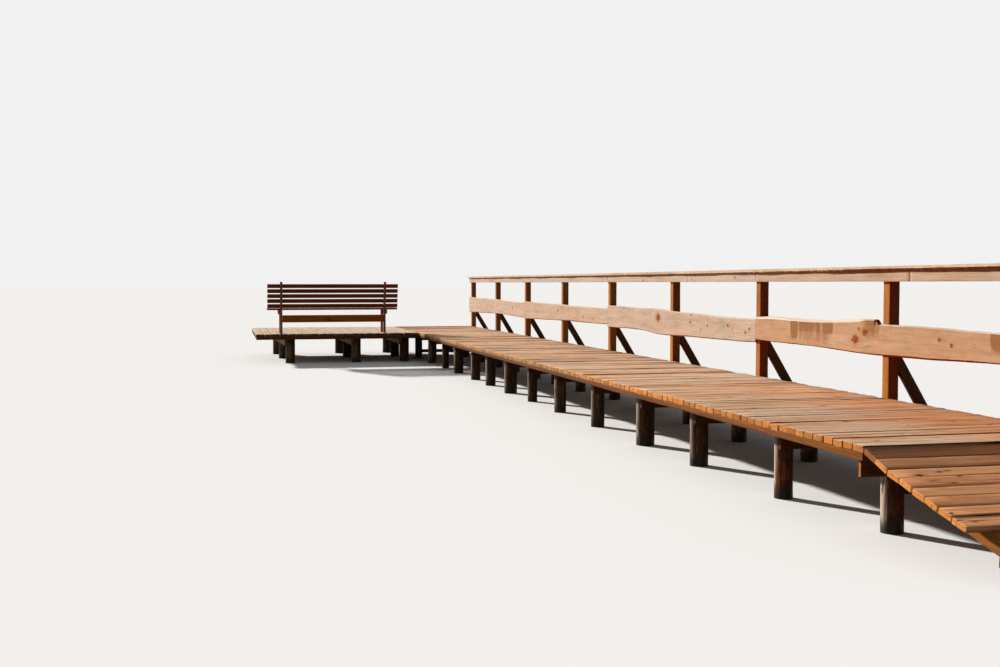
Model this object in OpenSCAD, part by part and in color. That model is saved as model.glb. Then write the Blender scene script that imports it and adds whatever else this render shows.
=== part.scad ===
// Wooden lake jetty: a boarded walkway on log piles with a rail along one side, a short ramp at
// its shore end, and a square platform with a bench at its lake end. Millimetres, z = 0 at the water.

/* [Walkway] */
// Width of the walkway, the length of its boards
deck_w = 1760; // [1400:10:2600]
// Height of the boards above the water
deck_h = 575; // [460:5:900]
// Length of the walkway, from its shore end to its lake end
deck_l = 19460; // [16000:20:24000]
// Thickness of a walkway board
board_t = 45; // [30:1:60]
// Distance from one walkway board to the next
board_pitch = 120; // [100:5:180]
// Gap between neighbouring boards
board_gap = 6; // [3:1:12]
// Boards past the last post, at the lake end
lake_margin = 60; // [20:5:150]

/* [Walkway frame] */
// Width of a stringer, the flat timber along the walkway
stringer_w = 150; // [125:5:180]
// Thickness of a stringer
stringer_t = 48; // [35:1:70]
// Thickness of a crossbeam
beam_t = 50; // [40:1:70]
// Height of a crossbeam
beam_h = 115; // [80:5:130]
// Thickness of the first crossbeam, at the top of the ramp
first_beam_t = 28; // [20:1:50]
// First crossbeam, in from the open edge
first_beam_in = 35; // [0:5:60]

/* [Piles] */
// Diameter of a log pile
pile_d = 155; // [130:5:180]
// Depth of the seat cut into a pile for its beam
seat_d = 25; // [15:1:35]
// Near row of piles, in from the open edge of the walkway
near_pile_x = 190; // [170:5:250]
// Near pile of the first pair, in from the open edge
first_pile_x = 305; // [200:5:400]
// Far row of piles, in from the open edge
far_pile_x = 1200; // [1000:10:1300]
// First pair of piles, in from the shore end of the boards
first_pair_y = 155; // [140:5:220]
// Height of the tie between the lake end piles
tie_h = 65; // [50:5:90]
// Bottom of that tie above the water
tie_z = 105; // [60:5:200]

/* [Rail] */
// Side of a square post
post_w = 97; // [80:1:120]
// Height of the cap over the boards
rail_h = 1124; // [950:2:1250]
// Thickness of the cap
cap_t = 35; // [25:1:50]
// How far the cap stands out over the face board
cap_over = 40; // [20:2:60]
// How far the cap's waney front edge slopes in
cap_wane = 10; // [2:1:25]
// Cap past the back of the posts
cap_back = 12; // [0:1:30]
// Thickness of the face board under the cap
face_t = 30; // [22:1:45]
// Height of the face board
face_h = 97; // [70:1:130]
// Thickness of a live-edge middle rail
mid_t = 32; // [22:1:45]
// Height of the middle rail's centre over the boards
mid_z = 490; // [420:5:560]
// Height of a middle rail board
mid_h = 270; // [180:5:300]
// Height of the wane on a middle rail's edges, where the outside of the tree is left on
mid_wane = 15; // [4:1:30]
// Rail boards past the end posts
rail_over = 60; // [20:5:200]
// Joint between two rail boards
rail_gap = 3; // [2:1:8]
// Width of a brace
brace_w = 90; // [60:5:120]
// Height over the boards at which a brace meets its post
brace_z = 318; // [250:2:420]
// How far a brace reaches out from its post
brace_run = 320; // [240:5:450]
// Beam end past the foot of its brace
beam_end = 15; // [5:5:120]

/* [Ramp] */
// Thickness of a ramp board
ramp_board_t = 38; // [28:1:50]
// Step down from the walkway to the ramp
ramp_step = 8; // [2:1:20]
// Gap between the walkway and the first ramp board
ramp_gap = 2; // [1:1:8]
// Length of the steep upper part, on the level
ramp_upper_run = 245; // [200:5:400]
// Drop of the steep upper part
ramp_upper_drop = 88; // [60:2:120]
// Length of the lower part, on the level
ramp_lower_run = 735; // [500:5:900]
// Drop of the lower part
ramp_lower_drop = 186; // [100:2:200]
// Thickness of a ramp joist
joist_t = 50; // [40:1:70]
// Height of a ramp joist
joist_h = 95; // [80:1:120]
// Joist past the last ramp board
joist_end = 130; // [90:5:200]
// Width of the sill under the joists
sill_w = 70; // [50:5:85]
// Height of that sill
sill_h = 60; // [40:5:70]
// Diameter of a stake under the sill
stake_d = 90; // [70:5:120]

/* [Platform] */
// Width of the platform, out from the walkway
platform_w = 3150; // [2900:10:4000]
// Depth of the platform, along the walkway
platform_d = 3360; // [2800:10:4200]
// Distance from one platform board to the next
platform_pitch = 150; // [110:5:200]
// Height of a platform bearer
bearer_h = 65; // [45:1:80]
// Thickness of a platform bearer
bearer_t = 50; // [40:1:70]
// Left beam of the platform, in from its open side
left_beam_x = 590; // [400:10:800]
// Middle beam, in from the open side
mid_beam_x = 1905; // [1500:10:2200]
// Right beam, in from the walkway
right_beam_x = 240; // [220:5:400]
// First pile under a platform beam, in from each end
platform_pile_y = 195; // [150:5:400]
// Diameter of a log pile under the platform
platform_pile_d = 190; // [130:5:220]
// Platform beams stop short of the platform's edges by this much
platform_beam_in = 5; // [3:1:40]

/* [Bench] */
// Length of the bench slats
bench_w = 2520; // [1800:10:2650]
// Slats past the middle of a leg frame, at each end
slat_end = 262; // [100:2:400]
// Middle of the bench, in from the platform's open side
bench_x = 1475; // [1360:5:1600]
// Back legs, in from the platform's shore edge
bench_y = 50; // [20:5:200]
// Depth of the bench between the outer faces of its legs
bench_d = 450; // [380:5:550]
// Thickness of a bench leg, across the bench
leg_t = 44; // [35:1:70]
// Depth of a bench leg
leg_d = 60; // [45:1:80]
// Height of the seat
seat_h = 488; // [400:2:520]
// Thickness of a seat slat
seat_t = 31; // [20:1:40]
// Thickness of a seat bearer, outside the legs
seat_bearer_t = 30; // [20:1:45]
// Height of a seat bearer
seat_bearer_h = 80; // [50:1:100]
// Height of the top of the back posts
back_h = 1004; // [850:2:1100]
// Lean of the back
lean = 12; // [4:1:18]
// Width of a back slat
slat_w = 75; // [40:1:76]
// Thickness of a back slat
slat_t = 28; // [18:1:40]
// Distance from one back slat to the next
slat_pitch = 98; // [80:1:110]
// Gap between the seat and the lowest back slat, along the back
slat_gap = 10; // [5:1:40]
// Height of the board between the back legs
stretcher_h = 140; // [80:2:160]
// Bottom of that board above the platform
stretcher_z = 220; // [120:2:260]

/* [Hidden] */

bays = 8;
rail_pieces = bays / 2;
round_fn = 48;

// Where each pair of piles stands, in bays from the first post: piles are driven where the
// ground lets them in, so the pairs aren't evenly spaced
pair_bays = [0, 0.5, 1.13, 1.66, 2.26, 2.85, 3.38, 3.87, 4.39, 4.83, 5.4, 5.9, 6.47, 7.14, 7.88];
last_pair = len(pair_bays) - 1;
// The pair that the tie holds
tie_pair = 13;
// How far the far pile of each pair stands off its row, away from the near one
far_off_row = [0, 0, 25, -35, 55, 60, 130, 25, 25, 0, 0, 0, 0, 0, 0];
// Diameter of each log of the near row, as a share of the pile diameter
near_girth = [0.96, 0.9, 1.05, 1.18, 0.98, 0.97, 0.86, 1.2, 1.04, 1.03, 1.11, 0.85, 1.1, 1, 1];
// Joints of the face boards that aren't at a post, in bays from the first post
face_splices = [0.84, 2.76];
// How far each row of piles under the platform is turned from the walkway's direction, in degrees
row_turns = [2.3, 0.8, -1.3];

// Waney edges of the middle rails: how far the top and bottom edges stray from straight, from
// the shore end of each board to its lake end
mid_top = [[6, 13, 20, 27, 34, 41, 42, 40, 44, 26, 10, 8, 9, 12, 1],
           [-25, -24, -20, -9, -2, 5, 23, 18, 22, 30, 27], [-17, -16, -10, -2, 3, 5, 16],
           [-9, -9, 7, 23, 28, 25, 41]];
mid_bottom = [[44, 40, 32, 22, 10, 2, -4, 4, 15, 18, 17, 17],
              [-7, -16, -20, -26, -31, -40, -39, -14, -10, -15, -21], [12, 6, 1, -10, -27, -43],
              [-30, -18, -7, -16, -30, -41]];
// Where a strip has split off the top of the first board, as a share of its length from the
// shore end, and how much lower that leaves the edge
split_share = 0.53;
split_h = 37;
// Straight pieces that make up one waney edge, along the board and across its thickness
wane_steps = 80;
wane_arc = 3;
// Straight pieces that make up the front edge of a cap plank
cap_steps = 40;
// Waves along the front edge of the cap: height and length of each
cap_waves = [[5, 1730], [3, 690]];

pile_r = pile_d / 2;
platform_pile_r = platform_pile_d / 2;
stringer_z = deck_h - board_t - stringer_t;
beam_z = stringer_z - beam_h;
// Flat of a pile's seat, from the middle of the pile
pile_seat = seat_d - pile_r;
platform_pile_seat = seat_d - platform_pile_r;
// Lake face of the beam let into the pair of piles at y
function beam_back(y) = y + pile_seat;
first_post_y = beam_back(first_pair_y) + post_w / 2;
// One bay, from post to post
bay = (deck_l - lake_margin - post_w / 2 - first_post_y) / bays;
function post_y(i) = first_post_y + i * bay;
function pair_y(i) = first_pair_y + pair_bays[i] * bay;
post_back = deck_w + post_w;
cap_z = deck_h + rail_h - cap_t;

// The brace runs from the back of its post down to the side of the beam
brace_angle = atan(brace_run / (deck_h + brace_z - beam_z));
brace_cut = brace_w / sin(brace_angle);
brace_foot = brace_w / cos(brace_angle);
beam_out = post_back + brace_run + brace_foot / 2 + beam_end;

// Corners of the ramp's walking line, from the top to the foot
upper_angle = atan(ramp_upper_drop / ramp_upper_run);
lower_angle = atan(ramp_lower_drop / ramp_lower_run);
ramp_top = [-ramp_board_t * sin(upper_angle) - ramp_gap, deck_h - ramp_step];
ramp_bend = ramp_top - [ramp_upper_run, ramp_upper_drop];
ramp_foot = ramp_bend - [ramp_lower_run, ramp_lower_drop];
// Point at depth d under a point of a slope of the given angle
function under(p, angle, d) = p - d * [-sin(angle), cos(angle)];
// The same point under the bend, on both slopes at once
function under_bend(d) =
    under(ramp_bend, (upper_angle + lower_angle) / 2, d / cos((upper_angle - lower_angle) / 2));
// Height at y of the line at depth d under the lower slope
function lower_line(y, d) = under_bend(d)[1] + (y - under_bend(d)[0]) * tan(lower_angle);
function upper_line(y, d) = under_bend(d)[1] + (y - under_bend(d)[0]) * tan(upper_angle);
joist_foot_y = ramp_foot[0] - joist_end;
joist_head_y = beam_back(first_pair_y) - first_beam_t;
sill_top = lower_line(joist_foot_y + sill_w, ramp_board_t + joist_h);

platform_y = deck_l - platform_d;
bearer_z = deck_h - board_t - bearer_h;
platform_beam_z = bearer_z - beam_h;
beam_xs = [-platform_w + left_beam_x, -platform_w + mid_beam_x, -right_beam_x];

bench_cx = -platform_w + bench_x;
bench_by = platform_y + bench_y;
bench_legs = bench_w - 2 * slat_end;
seat_z = seat_h - seat_t;

// The part's box, whose bottom centre is the origin
rail_end_y = post_y(bays) + post_w / 2 + rail_over;
box_x = [-platform_w, beam_out];
box_y = [joist_foot_y, max(deck_l, rail_end_y)];

module place() {
    translate([-(box_x[0] + box_x[1]) / 2, -(box_y[0] + box_y[1]) / 2, 0]) children();
}

// A profile drawn in y and z, given its thickness along x
module side_profile(points, x, t) {
    translate([x, 0, 0]) rotate([90, 0, 90]) linear_extrude(t) polygon(points);
}

// Value at t, from 0 to 1, of the smooth curve through the values in v
function smooth(v, t) =
    let (n = len(v) - 1, k = min(floor(t * n), n - 1), f = t * n - k,
         a = v[max(k - 1, 0)], b = v[k], c = v[k + 1], d = v[min(k + 2, n)])
    b + f / 2 * (c - a + f * (2 * a - 5 * b + 4 * c - d + f * (3 * (b - c) + d - a)));

// Boards of one bay of the walkway
module deck_bay(k) {
    count = round(deck_l / board_pitch);
    pitch = deck_l / count;
    first = floor((k - 1) * count / bays);
    last = floor(k * count / bays) - 1;
    color("burlywood")
        for (i = [first:last])
            translate([0, i * pitch + board_gap / 2, deck_h - board_t])
                cube([deck_w, pitch - board_gap, board_t]);
}

module stringer(x) {
    color("peru") translate([x, 0, stringer_z]) cube([stringer_w, deck_l, stringer_t]);
}

// The beam let into each pair of piles. The first also carries the rail's first post.
module crossbeams() {
    color("saddlebrown")
        for (i = [0:last_pair]) {
            x0 = i == 0 ? first_beam_in : near_pile_x - pile_r;
            x1 = i == 0 ? beam_out : deck_w;
            t = i == 0 ? first_beam_t : beam_t;
            translate([x0, beam_back(pair_y(i)) - t, beam_z]) cube([x1 - x0, t, beam_h]);
        }
}

// A beam under the boards beside each other post, out past its brace
module post_beams() {
    x0 = far_pile_x + pile_r + 2 * board_gap;
    color("saddlebrown")
        for (i = [1:bays])
            translate([x0, post_y(i) - post_w / 2 - beam_t, beam_z])
                cube([beam_out - x0, beam_t, beam_h]);
}

// A log of diameter d whose top is cut flat at seat_y from its middle, over the height seat_z,
// on the side that faces -y before the turn
module pile(x, y, d, top, seat_y, seat_z, turn) {
    translate([x, y, 0])
        rotate([0, 0, turn])
            difference() {
                cylinder(h = top, d = d, $fn = round_fn);
                translate([-d, seat_y - d, seat_z]) cube([2 * d, d, top]);
            }
}

module piles_open_side() {
    color("dimgray")
        for (i = [0:last_pair])
            pile(i == 0 ? first_pile_x : near_pile_x, pair_y(i), near_girth[i] * pile_d, stringer_z,
                 pile_seat, beam_z, 0);
}

module piles_rail_side() {
    color("dimgray")
        for (i = [0:last_pair])
            pile(far_pile_x + far_off_row[i], pair_y(i), pile_d, stringer_z, pile_seat, beam_z, 0);
}

module pile_tie() {
    color("dimgray")
        translate([near_pile_x - pile_r / 2, pair_y(tie_pair) + pile_r, tie_z])
            cube([far_pile_x - near_pile_x + pile_r, beam_t, tie_h]);
}

module rail_posts() {
    color("chocolate")
        for (i = [0:bays])
            translate([deck_w, post_y(i) - post_w / 2, beam_z]) cube([post_w, post_w, cap_z - beam_z]);
}

// A brace lies against the side of its beam and the back of its post
module post_braces() {
    z = deck_h + brace_z;
    reach = (z - beam_z) * tan(brace_angle);
    color("saddlebrown")
        for (i = [0:bays])
            translate([0, post_y(i) - post_w / 2 + beam_t, 0])
                rotate([90, 0, 0])
                    linear_extrude(beam_t)
                        polygon([[post_back, z - brace_cut / 2], [post_back, z + brace_cut / 2],
                                 [post_back + reach + brace_foot / 2, beam_z],
                                 [post_back + reach - brace_foot / 2, beam_z]]);
}

// Ends of rail piece k, which spans two bays
function rail_start(k) =
    k == 1 ? post_y(0) - post_w / 2 - rail_over : post_y(2 * k - 2) + rail_gap / 2;
function rail_end(k) =
    k == rail_pieces ? rail_end_y : post_y(2 * k) - rail_gap / 2;

// A board as a skin over sections of it, each a ring of as many points
module board_through(rings) {
    n = len(rings[0]);
    last = len(rings) - 1;
    sides = [for (k = [0:last - 1], i = [0:n - 1]) let (a = k * n + i, b = k * n + (i + 1) % n)
        each [[a, b, a + n], [b, b + n, a + n]]];
    ends = [[for (i = [n - 1:-1:0]) i], [for (i = [0:n - 1]) last * n + i]];
    polyhedron([for (r = rings) each r], concat(sides, ends));
}

// Waney edge from the board's back to its front: shares of its thickness and of the wane
wane_curve = [for (j = [0:wane_arc]) let (a = 90 * j / wane_arc) [sin(a), 1 - cos(a)]];

// Section of a live-edge board at y, between the heights low and high
function live_section(y, low, high) = concat(
    [for (c = wane_curve) [deck_w - c[0] * mid_t, y, low + c[1] * mid_wane]],
    [for (j = [wane_arc:-1:0]) let (c = wane_curve[j])
        [deck_w - c[0] * mid_t, y, high - c[1] * mid_wane]]);

// Top edge of a middle rail at the share t of its length, from straight
function top_edge(k, t) =
    smooth(mid_top[k - 1], t) - (k == 1 && t < split_share ? split_h : 0);

// A live-edge board whose top and bottom follow the tree
module middle_rail(k) {
    y0 = rail_start(k);
    y1 = rail_end(k);
    z = deck_h + mid_z;
    color("burlywood")
        board_through([for (i = [0:wane_steps]) let (t = i / wane_steps)
            live_section(y0 + t * (y1 - y0), z - mid_h / 2 + smooth(mid_bottom[k - 1], t),
                         z + mid_h / 2 + top_edge(k, t))]);
}

// The boards under the cap, from joint to joint
module face_board(k) {
    splices = [for (s = face_splices) if (floor(s / 2) == k - 1) post_y(s)];
    starts = concat([rail_start(k)], [for (y = splices) y + rail_gap / 2]);
    ends = concat([for (y = splices) y - rail_gap / 2], [rail_end(k)]);
    color("burlywood")
        for (i = [0:len(starts) - 1])
            translate([deck_w - face_t, starts[i], cap_z - face_h])
                cube([face_t, ends[i] - starts[i], face_h]);
}

// Section of the cap at y, whose front edge waves and slopes in under its top
function cap_section(y) =
    let (front = deck_w - face_t - cap_over + cap_waves[0][0] * sin(360 * y / cap_waves[0][1])
                                            + cap_waves[1][0] * sin(360 * y / cap_waves[1][1]),
         back = post_back + cap_back)
    [[back, y, cap_z], [front + cap_wane, y, cap_z], [front + cap_wane / 3, y, cap_z + cap_t / 2],
     [front, y, cap_z + cap_t], [back, y, cap_z + cap_t]];

// A cap plank with a waney front edge
module rail_cap(k) {
    y0 = rail_start(k);
    y1 = rail_end(k);
    color("wheat")
        board_through([for (i = [0:cap_steps]) cap_section(y0 + i / cap_steps * (y1 - y0))]);
}

// Boards laid down one slope of the ramp, from the point p
module slope_boards(p, angle, run) {
    length = run / cos(angle);
    count = round(length / board_pitch);
    pitch = length / count;
    translate([0, p[0], p[1]])
        rotate([angle, 0, 0])
            for (i = [1:count])
                translate([0, -i * pitch, -ramp_board_t]) cube([deck_w, pitch - board_gap, ramp_board_t]);
}

module ramp_boards() {
    color("sienna") {
        slope_boards(ramp_top, upper_angle, ramp_upper_run);
        slope_boards(ramp_bend, lower_angle, ramp_lower_run);
    }
}

// Joists with their heads cut under the stringers and a seat over the sill
module ramp_joists() {
    t = ramp_board_t;
    b = ramp_board_t + joist_h;
    notch_y = min(ramp_top[0], 0);
    points = [
        [joist_head_y, stringer_z], [notch_y, stringer_z], [notch_y, upper_line(notch_y, t)],
        under_bend(t), [joist_foot_y, lower_line(joist_foot_y, t)],
        [joist_foot_y, sill_top], [joist_foot_y + sill_w, sill_top],
        under_bend(b), [joist_head_y, upper_line(joist_head_y, b)]
    ];
    color("peru")
        for (x = [stringer_w, (deck_w - joist_t) / 2, deck_w - stringer_w - joist_t])
            side_profile(points, x, joist_t);
}

module ramp_sill() {
    color("saddlebrown")
        translate([stringer_w, joist_foot_y, sill_top - sill_h])
            cube([deck_w - 2 * stringer_w, sill_w, sill_h]);
}

module ramp_stakes() {
    color("dimgray")
        for (x = [deck_w / 3, deck_w * 2 / 3])
            translate([x, joist_foot_y + stake_d / 2, 0])
                cylinder(h = sill_top - sill_h, d = stake_d, $fn = round_fn);
}

// Platform boards run along the walkway, over bearers that butt against its edge
module platform_boards() {
    count = round(platform_w / platform_pitch);
    pitch = platform_w / count;
    color("burlywood")
        for (i = [0:count - 1])
            translate([-platform_w + i * pitch, platform_y, deck_h - board_t])
                cube([pitch - board_gap, platform_d, board_t]);
}

module platform_bearers() {
    count = 5;
    color("peru")
        for (i = [0:count - 1])
            translate([-platform_w, platform_y + i * (platform_d - bearer_t) / (count - 1), bearer_z])
                cube([platform_w, bearer_t, bearer_h]);
}

// Places a row of the platform's piles and their beam, drawn about the middle of the row
module platform_row(k) {
    translate([beam_xs[k], platform_y + platform_d / 2, 0]) rotate([0, 0, row_turns[k]]) children();
}

module platform_beams() {
    length = platform_d - 2 * platform_beam_in;
    color("saddlebrown")
        for (k = [0:2])
            platform_row(k)
                translate([platform_pile_seat - beam_t, -length / 2, platform_beam_z])
                    cube([beam_t, length, beam_h]);
}

module platform_piles(k) {
    reach = platform_d / 2 - platform_pile_y;
    color("dimgray")
        platform_row(k)
            for (y = [-reach, 0, reach])
                pile(0, y, platform_pile_d, bearer_z, platform_pile_seat, platform_beam_z, -90);
}

// Leg frame of the bench: a cranked back post, a front leg and a seat bearer outside them
module bench_frame(side) {
    x = bench_cx + side * bench_legs / 2 - leg_t / 2;
    rise = back_h - seat_z;
    tip = [leg_d - rise * tan(lean), back_h];
    tip_back = tip - leg_d * 0.85 * [cos(lean), 0];
    knee = tip_back[1] + tip_back[0] / tan(lean);
    back_post = [[0, 0], [leg_d, 0], [leg_d, seat_z], tip, tip_back, [0, knee]];
    color("saddlebrown")
        translate([0, bench_by, deck_h]) {
            side_profile(back_post, x, leg_t);
            translate([x, bench_d - leg_d, 0]) cube([leg_t, leg_d, seat_z]);
            translate([x + (side > 0 ? leg_t : -seat_bearer_t), 0, seat_z - seat_bearer_h])
                cube([seat_bearer_t, bench_d, seat_bearer_h]);
        }
}

// Slats fixed to the front of the leaning posts
module bench_back() {
    count = 5;
    first = seat_t + slat_gap;
    color("maroon")
        translate([bench_cx - bench_w / 2, bench_by + leg_d, deck_h + seat_z])
            rotate([lean, 0, 0])
                for (i = [0:count - 1])
                    translate([0, 0, first + i * slat_pitch]) cube([bench_w, slat_t, slat_w]);
}

module bench_seat() {
    count = 5;
    start = leg_d + board_gap;
    pitch = (bench_d - start + seat_t) / count;
    color("maroon")
        for (i = [0:count - 1])
            translate([bench_cx - bench_w / 2, bench_by + start + i * pitch, deck_h + seat_z])
                cube([bench_w, pitch - 2 * board_gap, seat_t]);
}

module bench_stretcher() {
    color("peru")
        translate([bench_cx - (bench_legs - leg_t) / 2, bench_by, deck_h + stretcher_z])
            cube([bench_legs - leg_t, seat_t, stretcher_h]);
}

place() deck_bay(1);  // deck_bay_1
place() deck_bay(2);  // deck_bay_2
place() deck_bay(3);  // deck_bay_3
place() deck_bay(4);  // deck_bay_4
place() deck_bay(5);  // deck_bay_5
place() deck_bay(6);  // deck_bay_6
place() deck_bay(7);  // deck_bay_7
place() deck_bay(8);  // deck_bay_8
place() stringer(0);  // stringer_open_side
place() stringer((deck_w - stringer_w) / 2);  // stringer_middle
place() stringer(deck_w - stringer_w);  // stringer_rail_side
place() crossbeams();
place() post_beams();
place() piles_open_side();
place() piles_rail_side();
place() pile_tie();
place() rail_posts();
place() post_braces();
place() middle_rail(1);  // middle_rail_1
place() middle_rail(2);  // middle_rail_2
place() middle_rail(3);  // middle_rail_3
place() middle_rail(4);  // middle_rail_4
place() face_board(1);  // face_board_1
place() face_board(2);  // face_board_2
place() face_board(3);  // face_board_3
place() face_board(4);  // face_board_4
place() rail_cap(1);  // rail_cap_1
place() rail_cap(2);  // rail_cap_2
place() rail_cap(3);  // rail_cap_3
place() rail_cap(4);  // rail_cap_4
place() ramp_boards();
place() ramp_joists();
place() ramp_sill();
place() ramp_stakes();
place() platform_boards();
place() platform_bearers();
place() platform_beams();
place() platform_piles(0);  // platform_piles_left
place() platform_piles(1);  // platform_piles_middle
place() platform_piles(2);  // platform_piles_right
place() bench_frame(-1);  // bench_frame_left
place() bench_frame(1);  // bench_frame_right
place() bench_back();
place() bench_seat();
place() bench_stretcher();
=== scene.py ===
import bmesh
import bpy
import math
import numpy as np
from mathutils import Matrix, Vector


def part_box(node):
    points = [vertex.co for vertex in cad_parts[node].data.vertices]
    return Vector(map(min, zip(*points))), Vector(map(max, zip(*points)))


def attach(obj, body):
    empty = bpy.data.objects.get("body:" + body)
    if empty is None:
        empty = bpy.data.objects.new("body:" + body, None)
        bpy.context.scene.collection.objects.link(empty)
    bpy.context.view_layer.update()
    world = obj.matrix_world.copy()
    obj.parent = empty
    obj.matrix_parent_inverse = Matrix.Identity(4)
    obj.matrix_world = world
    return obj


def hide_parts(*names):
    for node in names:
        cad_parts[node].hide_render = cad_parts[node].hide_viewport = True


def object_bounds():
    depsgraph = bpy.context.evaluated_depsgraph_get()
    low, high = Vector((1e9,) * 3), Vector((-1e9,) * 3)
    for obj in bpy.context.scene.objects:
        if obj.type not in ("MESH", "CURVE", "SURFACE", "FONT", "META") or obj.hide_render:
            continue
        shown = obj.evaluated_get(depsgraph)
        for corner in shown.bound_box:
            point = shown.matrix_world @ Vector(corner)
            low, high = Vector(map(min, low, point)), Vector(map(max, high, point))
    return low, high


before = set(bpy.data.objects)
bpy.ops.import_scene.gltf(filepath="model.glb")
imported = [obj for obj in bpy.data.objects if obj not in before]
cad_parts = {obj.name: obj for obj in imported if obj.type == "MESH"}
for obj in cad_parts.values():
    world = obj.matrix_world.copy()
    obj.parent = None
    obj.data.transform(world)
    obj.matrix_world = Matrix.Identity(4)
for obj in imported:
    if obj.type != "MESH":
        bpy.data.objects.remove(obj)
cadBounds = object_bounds()
scene = bpy.context.scene

# The walkway's own corner: open edge, shore end and top of the boards
edgeX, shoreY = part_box("stringer_open_side")[0][:2]
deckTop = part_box("deck_bay_1")[1][2]
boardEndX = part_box("rail_posts")[0][0]
print("frame loaded, walkway corner at", round(edgeX, 3), round(shoreY, 3), "top", round(deckTop, 3))

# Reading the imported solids: cells a metre that tell corners apart, the least edge of a bar, how
# square two edges have to stand, and how near a corner lies to a face that it is on
reading = {"grid": 20000, "leastEdge": 0.002, "square": 1e-3, "touch": 1e-4}
boxInset = 1e-5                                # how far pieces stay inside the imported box
sunWay = np.array([-0.49, 0.87, 0.0])          # level direction towards the sun


def dice(word):
    # one seeded source of chance for each piece, from the letters of its name
    return np.random.default_rng(sum(ord(c) * (i + 3) for i, c in enumerate(word)))


def ripple(rng, amount, *where):
    # a sum of sine waves with random places, mostly between -1 and 1, over any arrays of one shape
    total = 0.0
    for step in range(5):
        turn = sum(w * rng.uniform(0.55, 1.0) * 2 ** (step * 0.7) * rng.choice([-1, 1]) for w in where)
        total = total + np.sin(turn + rng.uniform(0, 6.28)) * 0.75 ** step
    return amount * total / 2.2


def solids(node):
    # corners of each separate solid in a node: numbers spread along the edges until they settle
    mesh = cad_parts[node].data
    spots = np.empty(len(mesh.vertices) * 3)
    mesh.vertices.foreach_get("co", spots)
    spots = spots.reshape(-1, 3)
    _, index, back = np.unique(np.round(spots * reading["grid"]).astype(np.int64), axis=0,
                               return_index=True, return_inverse=True)
    back = back.ravel()
    pairs = np.empty(len(mesh.edges) * 2, dtype=np.int32)
    mesh.edges.foreach_get("vertices", pairs)
    a, b = back[pairs[0::2]], back[pairs[1::2]]
    label = np.arange(len(index))
    while True:
        low = np.minimum(label[a], label[b])
        fresh = label.copy()
        np.minimum.at(fresh, a, low)
        np.minimum.at(fresh, b, low)
        if (fresh == label).all():
            break
        label = fresh
    spots = spots[index]
    return [spots[label == k] for k in np.unique(label)]


def bars(nodes):
    # each box-shaped solid as its middle, its directions along, across and up, and its lengths
    # in them: the thin edge is the shortest step between corners, the others are square to it
    out = []
    for c in [c for node in nodes for c in solids(node)]:
        steps = c[1:] - c[0]
        steps = steps[np.linalg.norm(steps, axis=1) > reading["leastEdge"]]
        picked = []
        for step in steps[np.argsort(np.linalg.norm(steps, axis=1))]:
            if all(abs(np.dot(step, q)) < reading["square"] * np.linalg.norm(step) for q in picked):
                picked.append(step)
        thin, wide, long = picked[:3]
        sizes = [np.linalg.norm(v) for v in (long, wide, thin)]
        way = long / sizes[0] * (1 if long.sum() > 0 else -1)
        up = thin / sizes[2]
        up = up * (1 if (up[2] if abs(up[2]) > 0.1 else up.sum()) > 0 else -1)
        out.append((c[0] + (thin + wide + long) / 2, way, np.cross(up, way), up, *sizes))
    return [np.array(v) for v in zip(*out)]


def placed(name, mesh, paint, replaced):
    # an object of its own for a mesh, on the part's one body
    mesh.materials.append(paint)
    piece = bpy.data.objects.new(name, mesh)
    scene.collection.objects.link(piece)
    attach(piece, "root")
    if replaced:
        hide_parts(*replaced)
    return piece


def newPiece(name, spots, faces, paint, slot, replaced=(), smooth=40, **facts):
    # faces is a list of index arrays, each with three or four columns. Facts become attributes,
    # on the points if there is one value for each, or else on the faces
    mesh = bpy.data.meshes.new(name)
    spots = np.clip(spots, np.array(cadBounds[0]) + boxInset, np.array(cadBounds[1]) - boxInset)
    counts = np.concatenate([np.full(len(f), f.shape[1]) for f in faces])
    starts = np.concatenate([[0], np.cumsum(counts)[:-1]])
    corners = np.concatenate([f.ravel() for f in faces])
    mesh.vertices.add(len(spots))
    mesh.vertices.foreach_set("co", np.asarray(spots, dtype=np.float32).ravel())
    mesh.loops.add(len(corners))
    mesh.loops.foreach_set("vertex_index", corners.astype(np.int32))
    mesh.polygons.add(len(counts))
    mesh.polygons.foreach_set("loop_start", starts.astype(np.int32))
    mesh.polygons.foreach_set("loop_total", counts.astype(np.int32))
    mesh.update(calc_edges=True)
    for key, values in facts.items():
        values = np.asarray(values, dtype=np.float32)
        kind, field = ("FLOAT_VECTOR", "vector") if values.ndim == 2 else ("FLOAT", "value")
        made = mesh.attributes.new(key, kind, "POINT" if len(values) == len(spots) else "FACE")
        made.data.foreach_set(field, values.ravel())
    mesh.shade_smooth()
    mesh.set_sharp_from_angle(angle=math.radians(smooth))
    placed(name, mesh, paint, replaced)


def roundedRing(across, down):
    # a rounded rectangle as shares of its two half sizes (less the corner) and of its corner:
    # each corner is three points on a quarter circle, and straight points stand between corners
    rows = []
    for k, (sx, sy) in enumerate([(1, 1), (-1, 1), (-1, -1), (1, -1)]):
        for turn in (0, 45, 90):
            a = math.radians(90 * k + turn)
            rows.append((sx, sy, math.cos(a), math.sin(a)))
        count = across if k % 2 == 0 else down
        for t in np.linspace(1, -1, count + 2)[1:-1]:
            rows.append([(t, 1, 0, 1), (-1, t, -1, 0), (-t, -1, 0, -1), (1, -t, 1, 0)][k])
    return np.array(rows, dtype=float).T


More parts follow.
